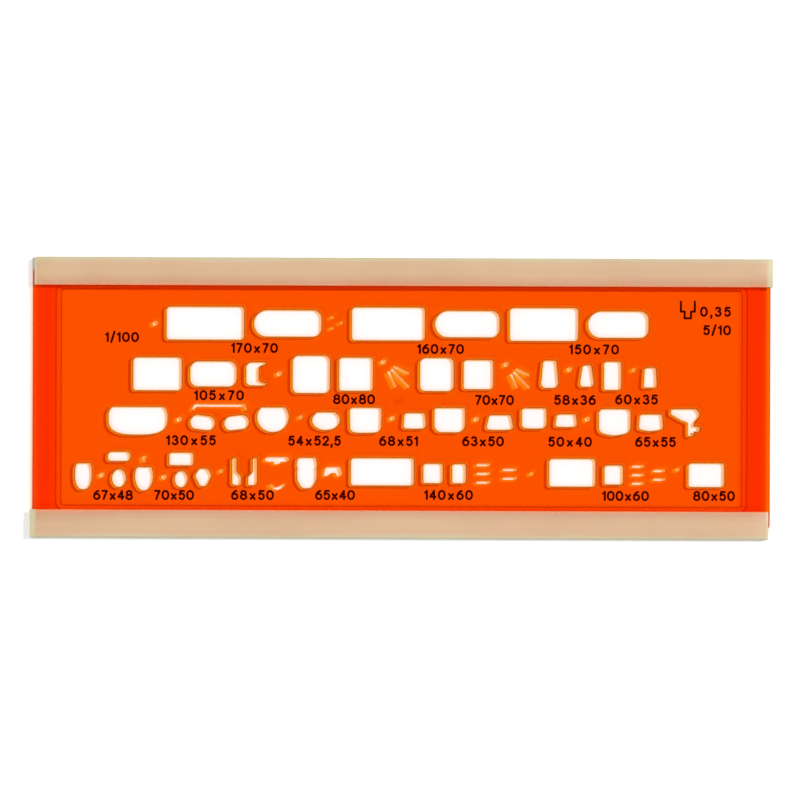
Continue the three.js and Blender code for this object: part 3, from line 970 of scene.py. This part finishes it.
@dataclass
class TemplatePlate:
    """The moulded plate: a thin field with the figures cut through it, a step up and a border.

    The rows of step and lip are outward distances and heights: step goes from the field up to the
    border, with a fine groove near each end of its slope, and lip from the underside up to the
    field. A cut-out with a breadth below fine has no lip, and its wall stands out by fine_opens at
    its foot and its head. The field lies more than clear above the underside and below the border.
    """

    node: str = "template_plate"
    rim: float = 0.035
    rim_points: int = 3
    edge: float = 0.35
    edge_points: int = 4
    step: Rows = (
        (-0.45, 0.0), (-0.2, 0.01), (0.03, 0.04), (0.08, 0.02), (0.16, -0.15),
        (0.24, -0.15), (0.32, 0.1), (0.38, 0.14), (1.18, 0.38), (1.23, 0.36),
        (1.31, 0.14), (1.39, 0.14), (1.47, 0.46), (1.54, 0.5),
    )
    lip: Rows = (
        (-0.1, 0.0), (-0.12, 0.02), (-0.12, 0.09), (-0.1, 0.11),
        (0.09, 0.15), (0.11, 0.21), (0.27, 1.08), (0.28, 1.1),
    )
    fine: float = 0.9
    fine_opens: Pair = (0.15, 0.27)
    steps: int = 3
    clear: float = 0.2
    marks: tuple[RoundMark, ...] = (
        RoundMark(-0.18, -0.56, ((0.58, 0.0), (0.55, 0.1), (0.48, 0.24), (0.3, 0.32))),
        RoundMark(-68.07, 6.96, ((1.1, 0.0), (0.9, 0.02), (0.6, 0.03))),
        RoundMark(2.6, -0.59, ((1.1, 0.0), (1.0, -0.02), (0.9, -0.03))),
        RoundMark(70.57, -6.81, ((1.1, 0.0), (0.9, 0.02), (0.6, 0.03))),
    )

    def build(self, finish: OrangePlastic) -> bpy.types.Object:
        """Builds and dresses the plate from the rings of the frame's flat faces.

        Args:
            finish: The plate's plastic.

        Returns:
            The plate.
        """
        solid = FrameNode(self.node)
        low, top, high = self.levels(solid)
        outline, *figures = solid.rings(2, low)
        field_ring = solid.rings(2, top)[0]
        surface = Surface()
        outside = self.wall(surface, outline, self.edge_profile(low, high))
        step = self.wall(surface, field_ring, fit_rows(self.step, top, high))
        cuts = [self.wall(surface, ring, self.cut_profile(ring, low, top)) for ring in figures]
        marks = [self.mark(surface, mark, top) for mark in self.marks]
        surface.fill(outside[0], [cut[0] for cut in cuts], (0, 1))
        surface.fill(step[0], [cut[-1] for cut in cuts] + marks, (0, 1))
        surface.fill(outside[-1], [step[-1]], (0, 1))
        piece = surface.make("orange_plate")
        dress(piece, finish.material(), "plate")
        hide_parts(self.node)
        return piece

    def levels(self, solid: FrameNode) -> tuple[float, float, float]:
        """Finds the heights of the underside, the field and the border.

        Args:
            solid: The plate's node of the frame.

        Returns:
            The three heights.
        """
        low, high = (corner[2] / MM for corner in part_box(self.node))
        return low, solid.busiest_level(low + self.clear, high - self.clear), high

    def wall(self, surface: Surface, ring: Array, profile: Array) -> Array:
        """Carries a profile round a ring.

        Each row is the ring moved outwards by the row's distance, with its arcs rounded, at the
        row's height.

        Args:
            surface: What the wall is added to.
            ring: The ring, anticlockwise.
            profile: Rows of outward distance and height.

        Returns:
            The numbers of the wall's points, a row for each row of the profile.
        """
        moved = [(offset_ring(ring, away), height) for away, height in profile]
        rows = [lift(smooth_ring(flat, self.steps), height) for flat, height in moved]
        grid = surface.add(np.stack(rows))
        surface.lace(grid)
        return grid

    @staticmethod
    def breadth(ring: Array) -> float:
        """Gives twice a ring's area over its length, the width of a slot or the radius of a dot."""
        length = np.linalg.norm(np.roll(ring, -1, axis=0) - ring, axis=1).sum()
        return 2 * FrameNode.area(ring) / float(length)

    def cut_profile(self, ring: Array, low: float, top: float) -> Array:
        """Gives the wall of a cut-out, which opens upwards.

        A wide one has a thin lip at its foot. A fine slot or dot has none, only rounded rims.

        Args:
            ring: The cut-out's ring.
            low: Height of the underside.
            top: Height of the field.

        Returns:
            Rows of outward distance and height, from the underside up.
        """
        if self.breadth(ring) >= self.fine:
            return fit_rows(self.lip, low, top)
        rows = upright_wall(low, top, self.rim, self.rim_points)
        rows[:, 0] += np.interp(rows[:, 1], [low, top], self.fine_opens)
        return rows

    def edge_profile(self, low: float, high: float) -> Array:
        """Gives the plate's outer edge, rounded inwards, as rows of outward distance and height."""
        return upright_wall(low, high, self.edge, self.edge_points) * [-1, 1]

    def mark(self, surface: Surface, mark: RoundMark, top: float) -> Array:
        """Raises or sinks a round mark on the field.

        A ring is its middle plus radius (cos a, sin a), at the field's height plus the ring's own,
        and the last one closes on the middle.

        Args:
            surface: What the mark is added to.
            mark: The mark.
            top: Height of the field.

        Returns:
            The numbers of the points on its rim.
        """
        angle = np.linspace(0, 2 * np.pi, mark.around, endpoint=False)
        radius, depth = np.array(mark.rings).T
        grid = np.stack(
            [
                mark.x + radius[:, None] * np.cos(angle),
                mark.y + radius[:, None] * np.sin(angle),
                top + np.repeat(depth[:, None], mark.around, axis=1),
            ],
            axis=-1,
        )
        numbers = surface.add(grid)
        surface.lace(numbers)
        pole = surface.add(np.array([[mark.x, mark.y, top + depth[-1]]]))
        surface.fan(numbers[-1], int(pole[0]))
        return numbers[0]


@dataclass
class GuideRail:
    """One push-on rail: its U section carried along the plate's long edge."""

    side: Side
    corner: float = 0.15
    corner_points: int = 4
    end: float = 0.05
    end_points: int = 4
    steps: int = 3
    stations: int = 40

    def build(self, finish: bpy.types.Material) -> bpy.types.Object:
        """Builds and dresses the rail from the ring of the frame's end face.

        The section is carried along x. A quarter round at each end draws it in by end (1 - sin a)
        where it lies end (1 - cos a) from the end face.

        Args:
            finish: The rails' plastic.

        Returns:
            The rail.
        """
        name = self.side.value
        solid = FrameNode(name)
        start, stop = (corner[0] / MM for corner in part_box(name))
        section = ease_corners(solid.rings(0, stop)[0], self.corner, self.corner_points)
        inset, back = quarter_round(self.end, self.end_points)
        middle = np.linspace(start + self.end, stop - self.end, self.stations)[1:-1]
        along = np.concatenate([start + back, middle, (stop - back)[::-1]])
        shrink = np.concatenate([inset, np.zeros(len(middle)), inset[::-1]])
        surface = Surface()
        rings = np.stack([smooth_ring(offset_ring(section, -away), self.steps) for away in shrink])
        place = np.repeat(along[:, None, None], rings.shape[1], axis=1)
        grid = surface.add(np.concatenate([place, rings], axis=2))
        surface.lace(grid)
        surface.fill(grid[0], [], (1, 2))
        surface.fill(grid[-1], [], (1, 2))
        piece = surface.make(f"ivory_{name}")
        dress(piece, finish, name)
        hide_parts(name)
        return piece


@dataclass(frozen=True)
class Stroke:
    """One stroke of a character, along a path in a box of 1 by 1."""

    path: Array
    closed: bool = False


@dataclass(frozen=True)
class Character:
    """A character: its width over the ink, and its strokes."""

    width: float
    strokes: tuple[Stroke, ...]


@dataclass(frozen=True)
class Label:
    """A row of numerals: its characters, the middle of the row and its width over the ink."""

    text: str
    x: float
    y: float
    width: float


def arc(x: float, y: float, across: float, tall: float, start: float, stop: float) -> Array:
    """Gives points on an ellipse, its middle plus (across cos a, tall sin a).

    Args:
        x: Middle of the ellipse.
        y: Middle of the ellipse.
        across: Half its width.
        tall: Half its height.
        start: First angle in degrees.
        stop: Last angle in degrees.

    Returns:
        Points no more than ARC_STEP degrees apart, N by 2.
    """
    angle = np.radians(np.linspace(start, stop, int(abs(stop - start) / ARC_STEP) + 2))
    return np.stack([x + across * np.cos(angle), y + tall * np.sin(angle)], axis=1)


def path(*parts: Pair | Array) -> Array:
    """Joins single points and arcs into one path."""
    return np.concatenate([np.atleast_2d(np.asarray(part, float)) for part in parts])


CHARACTERS: dict[str, Character] = {
    "0": Character(
        1.76,
        (Stroke(path(arc(0.5, 0.56, 0.5, 0.44, 0, 180), arc(0.5, 0.44, 0.5, 0.44, 180, 360)), True),),
    ),
    "1": Character(0.88, (Stroke(path((1, 0), (1, 1))), Stroke(path((1, 0.98), (0.6, 0.86), (0, 0.8))))),
    "2": Character(
        1.58,
        (Stroke(path(arc(0.5, 0.71, 0.47, 0.29, 165, -35), (0, 0))), Stroke(path((0, 0), (1, 0)))),
    ),
    "3": Character(
        1.58,
        (Stroke(arc(0.47, 0.76, 0.42, 0.24, 155, -80)), Stroke(arc(0.48, 0.27, 0.5, 0.27, 85, -155))),
    ),
    "4": Character(
        1.64,
        (
            Stroke(path((0.72, 1), (0, 0.27))),
            Stroke(path((0, 0.27), (1, 0.27))),
            Stroke(path((0.72, 1), (0.72, 0))),
        ),
    ),
    "5": Character(
        1.58,
        (
            Stroke(path((0.93, 1), (0.2, 1))),
            Stroke(path((0.2, 1), (0.08, 0.53))),
            Stroke(arc(0.49, 0.34, 0.5, 0.34, 145, -150)),
        ),
    ),
    "6": Character(
        1.68,
        (Stroke(arc(0.5, 0.32, 0.5, 0.32, 0, 360), True), Stroke(arc(0.88, 0.3, 0.88, 0.7, 96, 178))),
    ),
    "7": Character(1.5, (Stroke(path((0, 1), (1, 1))), Stroke(path((1, 1), (0.55, 0.45), (0.28, 0))))),
    "8": Character(
        1.7,
        (
            Stroke(arc(0.5, 0.765, 0.42, 0.235, 0, 360), True),
            Stroke(arc(0.5, 0.272, 0.5, 0.272, 0, 360), True),
        ),
    ),
    "x": Character(1.38, (Stroke(path((0, 0), (1, 0.62))), Stroke(path((0, 0.62), (1, 0))))),
    ",": Character(0.52, (Stroke(path((1, 0.03), (0.75, -0.12), (0, -0.26))),)),
    "/": Character(1.2, (Stroke(path((0, -0.12), (1, 1.14))),)),
}

SIZE_LABELS: tuple[Label, ...] = (
    Label("170x70", -32.88, 11.12, 10.51),
    Label("160x70", 8.70, 11.05, 10.51),
    Label("150x70", 43.01, 11.07, 11.18),
    Label("105x70", -40.77, 0.53, 11.18),
    Label("80x80", -10.59, -0.25, 9.39),
    Label("70x70", 20.81, -0.30, 8.72),
    Label("58x36", 38.80, -0.23, 9.39),
    Label("60x35", 52.55, -0.07, 9.61),
    Label("130x55", -46.99, -9.56, 11.18),
    Label("54x52,5", -19.39, -9.56, 11.85),
    Label("68x51", -0.61, -9.55, 8.72),
    Label("63x50", 18.28, -9.54, 9.39),
    Label("50x40", 37.72, -9.57, 9.83),
    Label("65x55", 56.83, -9.55, 9.16),
    Label("67x48", -64.38, -21.86, 8.94),
    Label("70x50", -50.74, -21.81, 8.94),
    Label("68x50", -33.20, -21.74, 9.61),
    Label("65x40", -14.76, -21.67, 8.94),
    Label("140x60", 10.61, -21.57, 10.95),
    Label("100x60", 50.17, -21.64, 10.51),
    Label("80x50", 69.95, -21.57, 9.39),
)
SCALE_LABELS: tuple[Label, ...] = (Label("1/100", -62.50, 13.46, 7.60),)
PEN_LABELS: tuple[Label, ...] = (Label("0,35", 70.13, 19.61, 6.93), Label("5/10", 70.48, 15.48, 6.26))
NIB_PATH: Array = path(
    (-1.555, 1.86), (-1.555, -0.36), (-0.715, -0.36), (-0.715, -1.86),
    (0.715, -1.86), (0.715, -0.36), (1.555, -0.36), (1.555, 1.86),
)
NIB_PLACE: Pair = (63.95, 19.98)


@dataclass
class PrintedMarks:
    """The print on the field: numerals beside the figures, the scale and the pen width.

    A stroke stands proud of the field, its sides up to a share of that, and is level over the
    share of its width that flat gives.
    """

    top: float
    cap: float = 2.3
    stroke: float = 0.48
    beside_x: float = 1.8
    proud: float = 0.018
    sunk: float = 0.02
    side: float = 0.5
    flat: float = 0.75
    end_turns: tuple[float, ...] = (15.0, 35.0, 60.0)

    def build(self, finish: PrintInk) -> list[bpy.types.Object]:
        """Builds and dresses the rows of numerals and the nib sign.

        Args:
            finish: The ink.

        Returns:
            The pieces of print.
        """
        ink = finish.material()
        nib = Surface()
        for first, last in zip(NIB_PATH[:-1], NIB_PATH[1:]):
            self.ribbon(nib, Stroke(np.stack([first, last]) + np.array(NIB_PLACE)))
        pieces = [
            self.rows(SIZE_LABELS).make("size_numerals"),
            self.rows(SCALE_LABELS).make("scale_numerals"),
            self.rows(PEN_LABELS).make("pen_width_numerals"),
            nib.make("pen_nib_sign"),
        ]
        for piece in pieces:
            dress(piece, ink, "plate")
            piece.visible_shadow = False
            piece.visible_diffuse = False
        return pieces

    def rows(self, labels: tuple[Label, ...]) -> Surface:
        """Sets rows of characters, each spread over its row's width, wider beside an x.

        Args:
            labels: The rows.

        Returns:
            The surface of all their strokes.
        """
        surface = Surface()
        for label in labels:
            letters = [CHARACTERS[sign] for sign in label.text]
            widths = np.array([letter.width for letter in letters])
            signs = np.array(list(label.text))
            beside = (signs[:-1] == "x") | (signs[1:] == "x")
            share = np.where(beside, self.beside_x, 1.0)
            gaps = (label.width - widths.sum()) * share / share.sum()
            lefts = label.x - label.width / 2 + np.concatenate([[0.0], np.cumsum(widths[:-1] + gaps)])
            foot = label.y - self.cap / 2 + self.stroke / 2
            for letter, left in zip(letters, lefts):
                size = np.array([letter.width - self.stroke, self.cap - self.stroke])
                corner = np.array([left + self.stroke / 2, foot])
                for stroke in letter.strokes:
                    self.ribbon(surface, Stroke(corner + stroke.path * size, stroke.closed))
        return surface

    def ribbon(self, surface: Surface, stroke: Stroke) -> None:
        """Carries a low domed section along a stroke.

        A point is the path plus across times half the stroke times w times the path's normal,
        with w = 1. At an open end the path runs on by half the stroke times cos b while w is
        sin b, with b falling through end_turns, which rounds the end.

        Args:
            surface: What the ribbon is added to.
            stroke: The stroke, in place.
        """
        half = self.stroke / 2
        section = np.array([[-1, -self.sunk], [-1, self.side * self.proud], [-self.flat, self.proud]])
        section = np.concatenate([section, section[::-1] * [-1, 1]])
        centre = stroke.path
        if stroke.closed:
            gap = np.linalg.norm(centre - np.roll(centre, 1, axis=0), axis=1)
            centre = centre[gap > SAME_PLACE]
            width = np.ones(len(centre))
            tangent = np.roll(centre, -1, axis=0) - np.roll(centre, 1, axis=0)
        else:
            turn = np.radians(self.end_turns)
            first = centre[0] - centre[1]
            last = centre[-1] - centre[-2]
            head = centre[0] + half * np.cos(turn)[:, None] * first / np.linalg.norm(first)
            tail = centre[-1] + half * np.cos(turn[::-1])[:, None] * last / np.linalg.norm(last)
            width = np.concatenate([np.sin(turn), np.ones(len(centre)), np.sin(turn[::-1])])
            centre = np.concatenate([head, centre, tail])
            tangent = np.gradient(centre, axis=0)
        tangent = tangent / np.linalg.norm(tangent, axis=1, keepdims=True)
        normal = np.stack([-tangent[:, 1], tangent[:, 0]], axis=1)
        flat = centre[:, None] + (half * width)[:, None, None] * section[None, :, :1] * normal[:, None]
        height = np.broadcast_to(self.top + section[:, 1], flat.shape[:2])[..., None]
        grid = surface.add(np.concatenate([flat, height], axis=2))
        if stroke.closed:
            surface.lace(np.concatenate([grid, grid[:1]]))
        else:
            surface.lace(grid)
            surface.face(grid[[0, -1]], False)


def main() -> None:
    """Loads the frame and builds every piece round it."""
    logging.basicConfig(level=logging.INFO, format="%(message)s")
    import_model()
    bpy.context.scene.view_settings.view_transform = "Standard"
    bpy.context.scene.cycles.blur_glossy = 0.0
    Viewpoint().build()
    SoftSky().build()
    for lamp in LAMPS:
        lamp.build()
    PaleFloor().build()
    plate = TemplatePlate()
    plate.build(OrangePlastic())
    ivory = IvoryPlastic().material()
    for side in Side:
        GuideRail(side).build(ivory)
    _, field_top, _ = plate.levels(FrameNode(plate.node))
    PrintedMarks(field_top).build(PrintInk())


if __name__ == "__main__":
    main()
